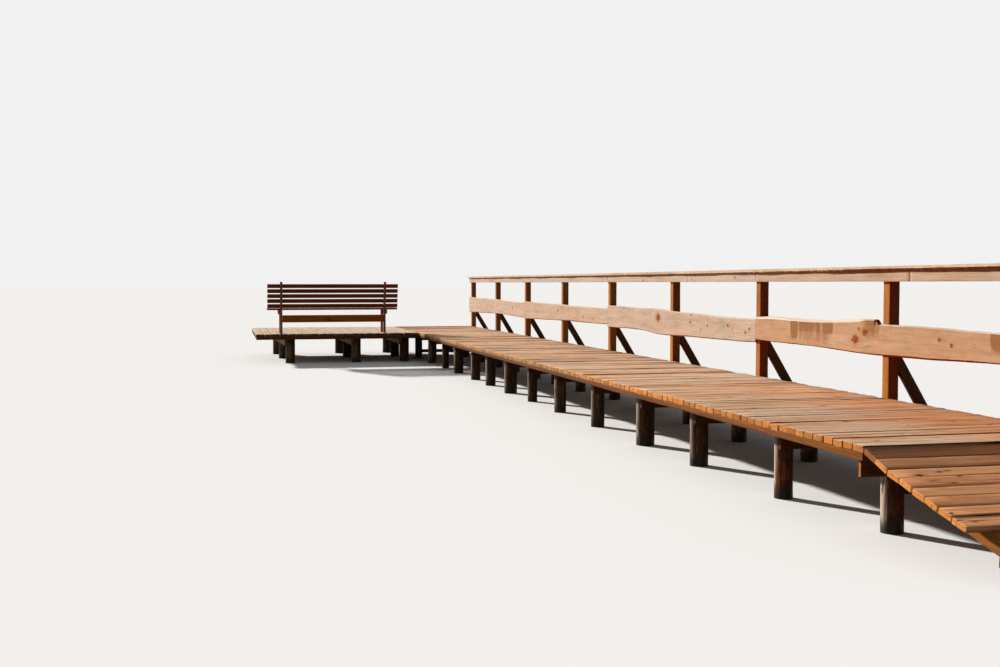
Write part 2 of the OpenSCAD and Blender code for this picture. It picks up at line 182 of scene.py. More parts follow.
def ringFaces(count, stations, ring):
    # quads between neighbouring rings of each of count bars, and a fan on each end
    per = stations * ring + 2
    start = np.arange(stations - 1)[:, None] * ring
    j = np.arange(ring)
    nxt = (j + 1) % ring
    quads = np.stack([start + j, start + nxt, start + ring + nxt, start + ring + j], -1)
    last = (stations - 1) * ring
    fans = np.concatenate([np.stack([np.full(ring, per - 2), nxt, j], -1),
                           np.stack([np.full(ring, per - 1), last + j, last + nxt], -1)])
    shift = (np.arange(count) * per)[:, None, None]
    return (quads.reshape(1, -1, 4) + shift).reshape(-1, 4), (fans[None] + shift).reshape(-1, 3)


rimOnly = ("edge", "sunny", "bark")            # facts that are 0 at the middle of an end


def ringPiece(name, spots, tint, paint, slot, replaced, smooth=40, middles=None, **facts):
    # Rings of points carried along bars, spots[bar, station, point], and a fan over each end. At a
    # fan's middle the points and facts are the end ring's mean, or 0 for those that are rimOnly,
    # unless middles gives them. Each bar has its tint, and cap is 1 on the fans
    count, stations, ring = spots.shape[:3]
    rows = {"spots": spots, **facts}
    for key, values in rows.items():
        ends = middles[key] if middles else values[:, [0, -1]].mean(axis=2) * (key not in rimOnly)
        closed = np.concatenate([values.reshape(count, -1, *values.shape[3:]), ends], 1)
        rows[key] = closed.reshape(-1, *values.shape[3:])
    quads, fans = ringFaces(count, stations, ring)
    tints = np.concatenate([np.repeat(tint, (stations - 1) * ring), np.repeat(tint, 2 * ring)])
    cap = np.concatenate([np.zeros(len(quads)), np.ones(len(fans))])
    newPiece(name, rows.pop("spots"), [quads, fans], paint, slot, replaced, smooth,
             tint=tints, cap=cap, **rows)


def between(corners, t, edge):
    # a value inside a board from the values at its corners, by shares of its length and width
    first = corners[0, 0] + (corners[0, 1] - corners[0, 0]) * edge
    last = corners[1, 0] + (corners[1, 1] - corners[1, 0]) * edge
    return first + (last - first) * t


sunk = {}                                      # how far each piece's corners are sunk, for the nails
timberLook = {"round": 0.003, "wear": 0.0012, "cup": 0.0, "steps": 12, "across": 3, "down": 1,
              "ragged": 0.0015, "endZone": 0.08, "endStep": (0.0, 0.0), "drop": 0.0, "reach": 0.0,
              "shut": 0.0, "open": 0.0, "openShare": 0.0, "pith": 0.09, "tints": None}


def timbers(name, bar, paint, slot, nodes, look, cuts=None):
    # Sawn timbers: a rounded rectangle carried along a straight line. Every point is
    # middle + way * (place along) + side * (half width, less wear) + up * (half depth, less wear),
    # with waves for wear that only take wood away. cuts holds two planes that the ends lie in.
    look = {**timberLook, **look}
    rng = dice(name)
    middle, way, side, up, length, width, depth = [v[:, None, None] for v in bar]
    count = len(length)
    sx, sy, rx, ry = roundedRing(look["across"], look["down"])
    ring = len(sx)
    inner = np.linspace(0, 1, look["steps"])[:, None]
    chamfer = np.minimum(look["round"] * 0.7 / length, 0.02)
    end = np.zeros((count, 1, 1))
    t = np.concatenate([end, chamfer + (1 - 2 * chamfer) * inner, end + 1], 1)
    stations = t.shape[1]
    shrink = np.zeros((stations, 1))
    shrink[[0, -1]] = look["round"] * 0.6
    each = lambda low, high: rng.uniform(low, high, (count, 1, 1))
    along = t * length + np.zeros(ring)
    around = np.arange(ring) / ring * 6.283 + np.zeros((count, stations, 1))
    corner = look["round"] * (1 + ripple(rng, 0.35, along * 9 + each(0, 50), around))
    halfW, halfD = width / 2 - shrink, depth / 2 - shrink
    u = sx * (halfW - corner) + rx * corner
    v = sy * (halfD - corner) + ry * corner
    wave = ripple(rng, 0.5, along * 5 + each(0, 60), around * 2, each(0, 9) + along * 0) + 0.5
    worn = look["wear"] * np.clip(wave, 0, 1)
    cupped = look["cup"] * each(-1, 1).clip(-0.4, 1) * (np.abs(sx) ** 2) * (sy > 0.5) * halfD / 0.02
    u = u - rx * worn
    v = v - ry * worn - cupped
    # each long edge stands near to its neighbour or back from it, by another amount at each end
    edges = []
    for _ in range(2):
        pick, size = rng.uniform(0, 1, (2, 2, count, 1, 1))
        back = np.where(pick < look["openShare"], (0.4 + 0.6 * size) * look["open"], look["shut"])
        stand = look["reach"] - back
        edges.append(stand[0] + (stand[1] - stand[0]) * t)
    half = width / 2
    u = u * (1 + (edges[0] + edges[1]) / (2 * half)) + (edges[1] - edges[0]) / 2
    # and each corner of a board lies a little lower or higher, by its end and its edge
    sink = rng.uniform(0, 1, (2, 2, count, 1, 1)) ** 1.6 * look["drop"]
    v = v - between(sink, t, (1 + sx) / 2)
    sunk[name] = sink[..., 0, 0]
    short = [each(0, 1) ** 2 * step for step in look["endStep"]]
    ragged = look["ragged"] * (1 + ripple(rng, 0.8, u * 160 + each(0, 40), v * 90))
    near, far = t < look["endZone"], t > 1 - look["endZone"]
    inward = (ragged + short[0]) * near - (ragged + short[1]) * far
    start, finish = -length / 2, length / 2
    if cuts is not None:
        offset = side * u[..., None] + up * v[..., None]
        start, finish = [(spot - middle - offset) @ normal / (way @ normal) for spot, normal in cuts]
        inward = 0
    place = start + (finish - start) * t + inward
    spots = middle + way * place[..., None] + side * u[..., None] + up * v[..., None]
    lift = each(0.4, 1.0) * look["pith"] * rng.choice([-1, 1], (count, 1, 1))
    grain = np.stack([place + each(0, 40), u + each(-0.6, 0.6) * width, v + lift], -1)
    # how far each face turns to the sun, which the posts' paint reads for painted shade
    face = side * rx[:, None] + up * ry[:, None] + 0 * spots
    sunny = np.clip(face @ sunWay * 3, 0, 1)
    tint = rng.uniform(0, 1, count) if look["tints"] is None else np.resize(look["tints"], count)
    ringPiece(name, spots, tint, paint, slot, nodes, grain=grain, edge=np.abs(u) / half, sunny=sunny)


def timbersOf(name, nodes, paint, slot, look):
    # the solids of some nodes, dressed as sawn timbers
    timbers(name, bars(nodes), paint, slot, nodes, look)


def joined(kind, turned=False):
    # a method that feeds a wire and another value to one Math node, turned round if told
    def method(self, other):
        return self.paint.maths(kind, *((other, self) if turned else (self, other)))
    return method


class Wire:
    # one socket, so that sums on it read as sums
    __add__, __radd__ = joined("ADD"), joined("ADD", True)
    __sub__, __rsub__ = joined("SUBTRACT"), joined("SUBTRACT", True)
    __mul__, __rmul__ = joined("MULTIPLY"), joined("MULTIPLY", True)
    __truediv__, __rtruediv__ = joined("DIVIDE"), joined("DIVIDE", True)
    __pow__, __gt__, __lt__ = joined("POWER"), joined("GREATER_THAN"), joined("LESS_THAN")

    def __init__(self, paint, socket):
        self.paint, self.socket = paint, socket

    def __abs__(self):
        return self.paint.maths("ABSOLUTE", self)


class Paint:
    # a new material, or the nodes of something else that has them
    def __init__(self, name=None, tree=None):
        if tree is None:
            self.material = bpy.data.materials.new(name)
            self.material.use_nodes = True
            tree = self.material.node_tree
        self.tree = tree

    def feed(self, sockets, values):
        # links for wires, and plain values for the rest
        for key, value in values.items():
            if isinstance(value, Wire):
                self.tree.links.new(value.socket, sockets[key])
            else:
                sockets[key].default_value = value

    def node(self, kind, settings=None, inputs=None, output=0):
        made = self.tree.nodes.new(kind)
        for key, value in (settings or {}).items():
            setattr(made, key, value)
        self.feed(made.inputs, inputs or {})
        return Wire(self, made.outputs[output])

    def maths(self, operation, *values):
        return self.node("ShaderNodeMath", {"operation": operation}, dict(enumerate(values)))

    def vector(self, operation, *values, output=0):
        return self.node("ShaderNodeVectorMath", {"operation": operation}, dict(enumerate(values)), output)

    def stretch(self, vector, x, y, z):
        return self.vector("MULTIPLY", vector, (x, y, z))

    def bright(self, colour, level):
        # the same colour, lighter or darker
        return self.node("ShaderNodeVectorMath", {"operation": "SCALE"}, {0: colour, 3: level})

    def mix(self, share, a, b):
        a, b = [v if isinstance(v, Wire) else (*v, 1.0) for v in (a, b)]
        return self.node("ShaderNodeMix", {"data_type": "RGBA"}, {0: share, 6: a, 7: b}, 2)

    def ramp(self, value, low, high):
        # 0 below low, 1 above high, and a soft step between them
        return self.node("ShaderNodeMapRange", {"interpolation_type": "SMOOTHSTEP"},
                         {"Value": value, "From Min": low, "From Max": high})

    def fade(self, value, low, high, a, b):
        # colour a where the value is below low, b above high, and a soft step between them
        return self.mix(self.ramp(value, low, high), a, b)

    def noise(self, where, scales, detail=2.0, rough=0.5, output=0):
        # noise with its own scale on each axis
        where = self.stretch(where, *scales)
        return self.node("ShaderNodeTexNoise", None,
                         {"Vector": where, "Scale": 1.0, "Detail": detail, "Roughness": rough}, output)

    def here(self):
        # the object's own coordinates, in metres
        return self.node("ShaderNodeTexCoord", None, None, 3)

    def parts(self, vector):
        return [self.node("ShaderNodeSeparateXYZ", None, {0: vector}, k) for k in range(3)]

    def attribute(self, name, output=2):
        return self.node("ShaderNodeAttribute", {"attribute_name": name}, None, output)

    def finish(self, colour, rough, bump=None, **plain):
        # bump is a height, a strength and a distance
        put = {"Base Color": colour, "Roughness": rough, "Specular IOR Level": 0.08, **plain}
        if bump:
            inputs = dict(zip(("Height", "Strength", "Distance"), bump))
            put["Normal"] = self.node("ShaderNodeBump", None, inputs)
        self.feed(self.tree.nodes["Principled BSDF"].inputs, put)
        return self.material


def woodPaint(name, look, extra=None):
    # Sawn wood as a solid pattern: growth rings are the distance from a pith line that runs
    # beside the board, so faces show long grain and ends show arcs of the same rings
    look = {"pale": (0.6, 0.38, 0.24), "deep": (0.5, 0.27, 0.14), "dark": (0.22, 0.1, 0.05),
            "stain": (0.42, 0.22, 0.12), "end": (0.45, 0.21, 0.08), "knotColour": (0.06, 0.025, 0.012),
            "rings": 0.006, "ringShare": 0.35, "streak": 0.35, "blotch": 0.4, "crack": 0.8,
            "contrast": 0.5, "knots": 0.3, "knotSize": 0.016, "rough": 0.62, "bump": 0.45,
            "along": None, "sheen": 0.03, "edgeDirtAndShade": 0.0, **look}
    p = Paint(name)
    if look["along"] is None:
        grain = p.attribute("grain", 1)
        tint = p.attribute("tint")
        cap = p.attribute("cap")
    else:
        x, y, z = p.parts(p.here())
        order = {"y": (y, x, z), "z": (z, x, y)}[look["along"]]
        grain = p.node("ShaderNodeCombineXYZ", None, {0: order[0], 1: order[1], 2: order[2] + 0.07})
        tint = p.noise(grain, (0.4, 0.4, 0.4), 0.0)
        cap = None
    along, across, through = p.parts(grain)
    # knots: the nearest point of a jittered lattice over the board's face, back in metres
    cellX, cellY = 1.6, 7.5
    lattice = p.node("ShaderNodeCombineXYZ", None,
                     {0: along * cellX, 1: (across + through * 0.3) * cellY, 2: 0.0})
    spot, chances = [p.node("ShaderNodeTexVoronoi", {"voronoi_dimensions": "2D"},
                            {"Vector": lattice, "Scale": 1.0}, output) for output in (2, 1)]
    luck, big, _ = p.parts(chances)
    away = p.stretch(p.vector("SUBTRACT", lattice, spot), 0.75 / cellX, 1 / cellY, 0)
    radius = look["knotSize"] * (0.35 + big)
    near = p.vector("LENGTH", away, output=1) / radius
    here = luck < look["knots"]
    _, offLine, _ = p.parts(away)
    knot = (1 - p.ramp(near, 0.55, 1.15)) * here
    halo = (1 - p.ramp(near, 0.6, 4.0)) * here
    check = (1 - p.ramp(abs(offLine), 0.0006, 0.0022)) * (1 - p.ramp(near, 2.0, 5.5)) * here
    sway = p.vector("SUBTRACT", p.noise(grain, (1.3, 7, 7), 1.0, 0.5, 1), (0.5, 0.5, 0.5))
    bent = p.vector("ADD", grain, p.stretch(sway, 0, 0.02, 0.02))
    _, bentAcross, bentThrough = p.parts(bent)
    reach = p.maths("SQRT", bentAcross * bentAcross + bentThrough * bentThrough) + halo * radius * 1.6
    late = p.maths("FRACT", reach / look["rings"]) ** 2.2
    fibre = p.noise(grain, (9, 480, 480), 1.0)
    streak = p.noise(grain, (2.4, 130, 130), 2.0)
    broad = p.noise(grain, (0.9, 26, 26), 2.0, 0.6)
    blotch = p.noise(grain, (1.4, 6, 6), 3.0, 0.6)
    colour = p.fade(tint * 0.7 + blotch * 0.6, 0.25, 0.9, look["pale"], look["deep"])
    # drying cracks: thin lines where a long-drawn noise crosses its middle value
    line = abs(p.noise(grain, (0.8, 24, 24), 1.0) - 0.5)
    some = p.ramp(p.noise(grain, (1.1, 7, 7), 1.0), 0.5, 0.58)
    crack = p.maths("MAXIMUM", (1 - p.ramp(line, 0.003, 0.012)) * some, check)
    for share, tone in ((p.ramp(blotch + (tint - 0.5) * 0.3, 0.52, 0.74) * look["blotch"], "stain"),
                        (late * look["ringShare"] * (0.5 + broad), "stain"),
                        (p.ramp(streak, 0.5, 0.75) * look["streak"], "dark"),
                        (p.ramp(broad, 0.54, 0.72) * look["streak"] * 0.8, "dark"),
                        (halo * 0.5, "stain"), (crack * look["crack"], "dark")):
        colour = p.mix(share, colour, look[tone])
    if look["edgeDirtAndShade"]:
        # dirt and painted shade along the long edges, thick in places and thin in others
        rim = p.ramp(p.attribute("edge") + (broad - 0.5) * 0.16, 0.88, 0.97)
        edgeDirtAndShade = rim * p.ramp(broad + tint * 0.1, 0.34, 0.58)
        colour = p.mix(edgeDirtAndShade * look["edgeDirtAndShade"], colour, look["dark"])
    swing = (streak - 0.5) * 0.8 + (fibre - 0.5) * 0.5 + (broad - 0.5) * 1.1 + (tint - 0.5) * 0.3
    colour = p.bright(colour, 1 + swing * look["contrast"])
    colour = p.mix(knot, colour, look["knotColour"])
    if cap is not None:
        # sawn ends: upright saw marks, arcs of the rings and a few open splits
        saw = p.noise(grain, (0.2, 210, 14), 1.0)
        split = abs(p.noise(grain, (0.2, 52, 12), 1.0) - 0.5)
        split = (1 - p.ramp(split, 0.004, 0.02)) * p.ramp(broad, 0.45, 0.55)
        ended = look["end"]
        for share, tone in ((p.ramp(saw, 0.45, 0.75) * 0.8, "stain"), (late * 0.25, "dark"),
                            (split * 0.8, "dark")):
            ended = p.mix(share, ended, look[tone])
        colour = p.mix(cap, colour, p.bright(ended, 0.75 + tint * 0.5))
    if extra is not None:
        colour = extra(p, colour, grain, broad)
    height = streak * 0.35 + late * 0.25 + broad * 0.3 + fibre * 0.12 - crack * 1.2 - knot * 0.5
    rough = look["rough"] + (broad - 0.5) * 0.25 + knot * 0.08
    sheen = {"Specular IOR Level": look["sheen"]}
    return p.finish(colour, rough, (height, look["bump"], 0.0025), **sheen)


deckLook = {
    "pale": (0.89, 0.65, 0.46), "deep": (0.74, 0.44, 0.255), "stain": (0.52, 0.23, 0.095),
    "dark": (0.11, 0.035, 0.012), "end": (0.7, 0.24, 0.042), "ringShare": 0.4, "streak": 0.5,
    "blotch": 0.9, "contrast": 1.1, "crack": 0.95, "edgeDirtAndShade": 1.0
}


# Distance from the open edge, distance from the shore end of the walkway, and half width
nearKnots = [(0.556, 1.144, 0.022), (0.846, 0.726, 0.02), (0.303, -0.323, 0.01), (0.363, -0.312, 0.007),
             (0.148, -0.355, 0.016)]


def lakeward(p, start, end):
    # 0 near the shore and 1 out on the lake, by metres from the shore end
    _, north, _ = p.parts(p.here())
    return p.ramp(north, shoreY + start, shoreY + end)


def boardSpots(p, colour, grain, broad):
    # The walkway is painted redder beside the rail at its shore end, darker near the shore end and lighter
    # out on the lake. The knots that show most on the near boards are each a dark spot with a drying crack
    # through it
    here = p.here()
    east, north, _ = p.parts(here)
    shore = 1 - p.ramp(north, shoreY + 1.0, shoreY + 5.0)
    fresh = p.ramp(east, edgeX + 0.5, edgeX + 1.5) * shore
    colour = p.mix(fresh, colour, p.vector("MULTIPLY", colour, (1.0, 0.7, 0.48)))
    colour = p.bright(colour, 1.12 - shore * 0.24)
    # the sawn ends have gone from orange to a duller yellow out on the lake
    ends = p.attribute("cap") * lakeward(p, 3.0, 8.0)
    colour = p.mix(ends, colour, p.vector("MULTIPLY", colour, (0.67, 0.87, 1.1)))
    fine = p.noise(here, (150, 150, 0), 1.0)
    for x, y, size in nearKnots:
        away = p.stretch(p.vector("SUBTRACT", here, (edgeX + x, shoreY + y, 0)), 0.6, 1, 0)
        _, off, _ = p.parts(away)
        gap = p.vector("LENGTH", away, output=1) / size
        spot = 1 - p.ramp(gap + (fine - 0.5) * 0.9, 0.6, 1.0)
        crack = (1 - p.ramp(abs(off), 0.0015, 0.004)) * (1 - p.ramp(gap, 1.6, 3.0))
        colour = p.mix((1 - p.ramp(gap, 0.9, 2.2)) * 0.35, colour, (0.36, 0.13, 0.045))
        colour = p.mix(p.maths("MAXIMUM", spot, crack), colour, (0.045, 0.018, 0.01))
    return colour


def rampSpots(p, colour, grain, broad):
    # the ramp's top board is painted dark as painted shadow, the shadow that the walkway's edge casts on
    # it
    _, y, _ = p.parts(p.here())
    paintedShade = p.ramp(y, shoreY - 0.128, shoreY - 0.124) * 0.7
    # the ramp is also painted a tenth lighter, as painted light
    return p.mix(paintedShade, p.bright(boardSpots(p, colour, grain, broad), 1.1), (0.13, 0.03, 0.006))


def underCap(p, colour, grain, broad):
    # painted shade: the face boards' upper edge is painted darker where the cap shades it, less so out on
    # the lake
    _, y, z = p.parts(p.here())
    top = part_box("face_board_1")[1][2]
    near = 1 - p.ramp(y, shoreY + 2.9, shoreY + 5.0) * 0.75
    capShade = p.ramp(z + (broad - 0.5) * 0.012, top - 0.03, top - 0.02)
    return p.mix(capShade * 0.7 * near, colour, (0.33, 0.1, 0.02))


def farShade(p, colour, grain, broad):
    # painted shade: the long beams are painted darker out on the lake
    return p.bright(colour, 1 - lakeward(p, 1.5, 6.0) * 0.5 - lakeward(p, 8.0, 16.0) * 0.12)


def firstBeam(p, colour, grain, broad):
    # the beam at the top of the ramp is a newer, redder timber than the ones behind it; its sides are
    # painted dark as painted shade, and its sawn end lighter
    _, y, _ = p.parts(p.here())
    red = p.fade(broad, 0.35, 0.65, (0.19, 0.055, 0.022), (0.12, 0.032, 0.012))
    red = p.mix(p.attribute("cap"), red, (0.46, 0.17, 0.04))
    return p.mix(y < shoreY + 0.11, colour, red)


def postSides(p, colour, grain, broad):
    # painted shade: the sides turned from the sun are painted a dark red, browner out on the lake, and the
    # sides turned to the sun keep the orange
    out = lakeward(p, 6.0, 10.0)
    red = p.vector("MULTIPLY", colour, p.mix(out, (0.5, 0.24, 0.5), (0.66, 0.66, 1.0)))
    return p.mix(p.attribute("sunny"), red, colour)


deckPaint = woodPaint("deckBoardWood", deckLook, boardSpots)
# The ramp's boards: a redder wood, and painted lighter as painted light, since the ramp slopes away from
# the sun
rampPaint = woodPaint("rampBoardWood", {
    **deckLook, "pale": (0.99, 0.52, 0.26), "deep": (0.97, 0.44, 0.2), "stain": (0.76, 0.3, 0.11),
    "knots": 0.15, "blotch": 0.5, "streak": 0.45, "contrast": 0.9, "end": (0.78, 0.3, 0.06),
    "edgeDirtAndShade": 0.7
}, rampSpots)
# The platform boards' sawn ends, on its shaded near face, are painted near black as painted shade
platformPaint = woodPaint("platformBoardWood", {
    **deckLook, "pale": (0.82, 0.68, 0.55), "deep": (0.73, 0.56, 0.42), "stain": (0.58, 0.33, 0.18),
    "end": (0.035, 0.012, 0.005), "contrast": 0.8, "blotch": 0.6, "streak": 0.4, "edgeDirtAndShade": 0.5
})
framePaint = woodPaint("frameTimberWood", {
    "pale": (0.31, 0.108, 0.01), "deep": (0.24, 0.07, 0.007), "stain": (0.16, 0.04, 0.006),
    "dark": (0.07, 0.02, 0.004), "end": (0.14, 0.055, 0.016), "streak": 0.7, "contrast": 1.6,
    "sheen": 0.04
}, farShade)
# The platform beams' sawn ends are painted near black as painted shade
bearerPaint = woodPaint("bearerWood", {
    "pale": (0.62, 0.44, 0.32), "deep": (0.5, 0.31, 0.2), "stain": (0.34, 0.17, 0.09),
    "dark": (0.08, 0.03, 0.012), "end": (0.07, 0.025, 0.01), "streak": 0.5, "contrast": 1.0,
    "sheen": 0.04
})
# The timbers under the walkway and its rail: painted near black as painted shade
shadedTimberPaint = woodPaint("shadedTimberWood", {
    "pale": (0.15, 0.05, 0.016), "deep": (0.1, 0.03, 0.01), "stain": (0.07, 0.02, 0.007),
    "dark": (0.03, 0.01, 0.005), "end": (0.09, 0.035, 0.014), "streak": 0.45, "contrast": 0.9,
    "sheen": 0.04
}, firstBeam)
postPaint = woodPaint("postWood", {
    "pale": (0.5, 0.19, 0.03), "deep": (0.4, 0.13, 0.016), "stain": (0.3, 0.085, 0.01),
    "dark": (0.13, 0.03, 0.006), "knots": 0.2, "streak": 0.4, "rough": 0.55, "contrast": 0.9,
    "end": (0.5, 0.2, 0.05), "knotColour": (0.16, 0.04, 0.008), "sheen": 0.04
}, postSides)
# The braces: painted near black as painted shade
bracePaint = woodPaint("braceWood", {
    "pale": (0.1, 0.032, 0.012), "deep": (0.07, 0.022, 0.008), "stain": (0.05, 0.015, 0.006),
    "dark": (0.03, 0.01, 0.005), "end": (0.2, 0.08, 0.03), "contrast": 0.8, "sheen": 0.08
})
railPaint = woodPaint("railBoardWood", {
    "pale": (0.64, 0.53, 0.43), "deep": (0.51, 0.36, 0.25), "stain": (0.42, 0.22, 0.12),
    "dark": (0.2, 0.075, 0.03), "ringShare": 0.3, "streak": 0.3, "blotch": 0.5, "knots": 0.75,
    "knotSize": 0.009, "crack": 0.5, "rough": 0.6, "contrast": 0.75
}, underCap)
slatPaint = woodPaint("benchSlatWood", {
    "pale": (0.25, 0.05, 0.014), "deep": (0.18, 0.032, 0.009), "stain": (0.12, 0.02, 0.006),
    "dark": (0.05, 0.01, 0.004), "end": (0.22, 0.075, 0.033), "rough": 0.5, "knots": 0.12,
    "contrast": 0.8, "sheen": 0.06
})
benchPaint = woodPaint("benchFrameWood", {
    "pale": (0.34, 0.13, 0.065), "deep": (0.25, 0.08, 0.038), "stain": (0.16, 0.05, 0.024),
    "dark": (0.07, 0.022, 0.012), "rough": 0.5, "knots": 0.1, "along": "z", "contrast": 0.7,
    "sheen": 0.08
})
stretcherPaint = woodPaint("stretcherWood", {
    "pale": (0.5, 0.155, 0.018), "deep": (0.4, 0.11, 0.012), "stain": (0.27, 0.07, 0.008),
    "dark": (0.1, 0.025, 0.005), "rough": 0.55, "contrast": 0.8, "sheen": 0.05
})
joistPaint = woodPaint("joistWood", {
    "pale": (0.38, 0.15, 0.035), "deep": (0.28, 0.095, 0.02), "stain": (0.2, 0.06, 0.015),
    "dark": (0.09, 0.03, 0.01), "along": "y", "contrast": 0.8
})
print("wood paints mixed")


def liveEdgeExtra(p, colour, grain, broad):
    # bare sapwood on the wane, and the knots, bark pockets and rain stains kept on the points
    wane, cream, under = p.attribute("wane"), p.attribute("cream"), p.attribute("under")
    stained, knot, pocket = p.attribute("stained"), p.attribute("knot"), p.attribute("pocket")
    fine = p.noise(grain, (30, 70, 70), 2.0)
    upright = p.noise(grain, (20, 3, 3), 1.5, 0.6)   # rain runs down, across the grain
    mottle = p.noise(grain, (5, 16, 16), 3.0, 0.6)
    fleck = p.noise(grain, (110, 30, 30), 1.0)
    colour = p.mix(p.ramp(fleck + (mottle - 0.5) * 0.3, 0.64, 0.74) * 0.5, colour, (0.3, 0.105, 0.04))
    colour = p.bright(colour, 1.03 + (upright - 0.5) * 0.15 + (mottle - 0.5) * 0.6)
    colour = p.mix(p.ramp(mottle, 0.48, 0.72) * 0.6, colour, (0.54, 0.26, 0.12))
    bare = p.fade(broad, 0.35, 0.65, (0.62, 0.44, 0.3), (0.54, 0.33, 0.19))
    pale = p.fade(broad, 0.4, 0.7, (0.72, 0.6, 0.48), (0.62, 0.46, 0.33))
    colour = p.fade(wane, 0.3, 0.75, colour, p.mix(cream, bare, pale))
    below = p.fade(broad, 0.4, 0.6, (0.55, 0.11, 0.022), (0.34, 0.06, 0.012))
    colour = p.mix(p.ramp(under, 0.25, 0.6) * (1 - lakeward(p, 4.5, 6.5) * 0.6), colour, below)
    wet = p.ramp(stained * (0.35 + upright * 1.5) + (fine - 0.5) * 0.15, 0.3, 0.75)
    colour = p.mix(wet * 0.9, colour, p.mix(fine, (0.35, 0.145, 0.044), (0.23, 0.083, 0.023)))
    bent = knot + (fine - 0.5) * 1.5 + (mottle - 0.5) * 0.7
    around = (1 - p.ramp(bent, 0.9, 2.4)) * p.ramp(upright, 0.3, 0.7) * 0.8
    colour = p.mix(around, colour, (0.44, 0.175, 0.07))
    split = p.ramp(p.noise(grain, (110, 14, 14), 1.0), 0.35, 0.75)
    core = 1 - p.ramp(bent, 0.75, 1.1)
    colour = p.mix(core, colour, p.mix(split, (0.33, 0.095, 0.018), (0.1, 0.018, 0.004)))
    return p.fade(pocket + (fine - 0.5) * 0.4, 0.35, 0.5, colour, (0.12, 0.015, 0.003))


livePaint = woodPaint("liveEdgeWood", {
    "pale": (0.6, 0.475, 0.375), "deep": (0.48, 0.302, 0.185), "stain": (0.44, 0.23, 0.115),
    "dark": (0.23, 0.09, 0.035), "ringShare": 0.25, "streak": 0.25, "blotch": 0.55, "knots": 0.0,
    "crack": 0.5, "rough": 0.6, "contrast": 0.7
}, liveEdgeExtra)


def capExtra(p, colour, grain, broad):
    # dark inner bark left along the lower part of the cap's front, where the bark points say so
    bark = p.attribute("bark")
    rough = p.noise(grain, (14, 40, 40), 3.0)
    tone = p.fade(rough, 0.4, 0.62, (0.12, 0.024, 0.003), (0.27, 0.062, 0.008))
    flaked = p.fade(rough, 0.42, 0.6, (0.27, 0.095, 0.036), (0.56, 0.3, 0.165))
    tone = p.mix(lakeward(p, 2.7, 3.8), tone, flaked)
    return p.fade(bark + (rough - 0.5) * 0.3, 0.35, 0.6, colour, tone)


capPaint = woodPaint("railCapWood", {
    "pale": (0.74, 0.6, 0.46), "deep": (0.64, 0.46, 0.31), "stain": (0.45, 0.25, 0.13),
    "dark": (0.24, 0.09, 0.035), "ringShare": 0.25, "streak": 0.25, "knots": 0.4, "knotSize": 0.01,
    "rough": 0.6, "contrast": 0.6
}, capExtra)


def logPaint():
    # a peeled log: brown streaks up the stem, bark left in patches, wet and dark near the water
    p = Paint("logWood")
    grain = p.attribute("grain", 1)
    tint = p.attribute("tint")
    cap = p.attribute("cap")
    _, _, height = p.parts(p.here())
    streak = p.noise(grain, (2.5, 60, 60), 3.0, 0.6)
    broad = p.noise(grain, (1.6, 14, 14), 3.0, 0.6)
    flake = p.noise(grain, (9, 24, 24), 3.0, 0.65)
    # the side towards the open lake and the sun is painted pale as painted light, with less bark as bared
    # wood, and the side turned from the sun is painted dark as painted shade, where bark lasts
    _, across, through = p.parts(grain)
    sunLitAndBared = p.ramp(through * 8 - across * 6 + (broad - 0.5) * 1.3, -0.12, 0.34)
    bark = p.ramp(flake * 0.5 + broad * 0.6 + tint * 0.12 - sunLitAndBared * 0.4, 0.5, 0.6)
    paintedShade = p.ramp(across * 8 - through * 2 + (broad - 0.5) * 1.0, -0.1, 0.5)
    fresh = p.fade(streak, 0.3, 0.7, (0.72, 0.58, 0.47), (0.54, 0.39, 0.28))
    old = p.fade(streak, 0.3, 0.7, (0.35, 0.275, 0.205), (0.235, 0.17, 0.12))
    wood = p.mix(lakeward(p, 0.6, 2.4), fresh, old)
    brown = p.fade(broad + (tint - 0.5) * 0.4, 0.3, 0.75, (0.36, 0.085, 0.02), (0.22, 0.04, 0.008))
    grey = p.fade(broad + (tint - 0.5) * 0.4, 0.35, 0.65, (0.25, 0.155, 0.085), (0.12, 0.07, 0.036))
    brown = p.mix(lakeward(p, 1.0, 4.5), brown, grey)
    brown = p.mix(paintedShade * 0.85, brown, (0.03, 0.01, 0.004))
    colour = p.mix(sunLitAndBared, brown, wood)
    colour = p.mix(p.ramp(streak, 0.55, 0.75) * 0.5, colour, (0.1, 0.035, 0.014))
    shell = p.fade(flake, 0.45, 0.62, (0.04, 0.015, 0.007), (0.12, 0.055, 0.027))
    colour = p.mix(bark * 0.85, colour, shell)
    line = abs(p.noise(grain, (0.9, 17, 17), 1.0) - 0.5)
    crack = 1 - p.ramp(line, 0.003, 0.012)
    colour = p.mix(crack * 0.8, colour, (0.035, 0.018, 0.01))
    wet = 1 - p.ramp(height + (broad - 0.5) * 0.12, 0.05, 0.13)
    slime = 1 - p.ramp(height + (flake - 0.5) * 0.06, 0.025, 0.06)
    colour = p.mix(wet * 0.85, colour, (0.03, 0.02, 0.012))
    colour = p.mix(slime * 0.6, colour, (0.03, 0.031, 0.014))
    sawn = p.fade(streak, 0.4, 0.7, (0.36, 0.19, 0.09), (0.22, 0.1, 0.045))
    colour = p.mix(cap * (1 - wet * 0.7), colour, sawn)
    rough = 0.78 - wet * 0.35 + (flake - 0.5) * 0.2
    relief = flake * 0.6 + streak * 0.4 + bark * 0.5 - crack * 1.3
    return p.finish(colour, rough, (relief, 0.6, 0.005))


def nailPaint():
    p = Paint("nailSteel")
    here = p.here()
    spot = p.noise(here, (60, 60, 60), 2.0)
    colour = p.fade(spot, 0.4, 0.6, (0.1, 0.085, 0.075), (0.2, 0.12, 0.075))
    return p.finish(colour, 0.45 + spot * 0.3, Metallic=0.8)


logWood = logPaint()
nailSteel = nailPaint()


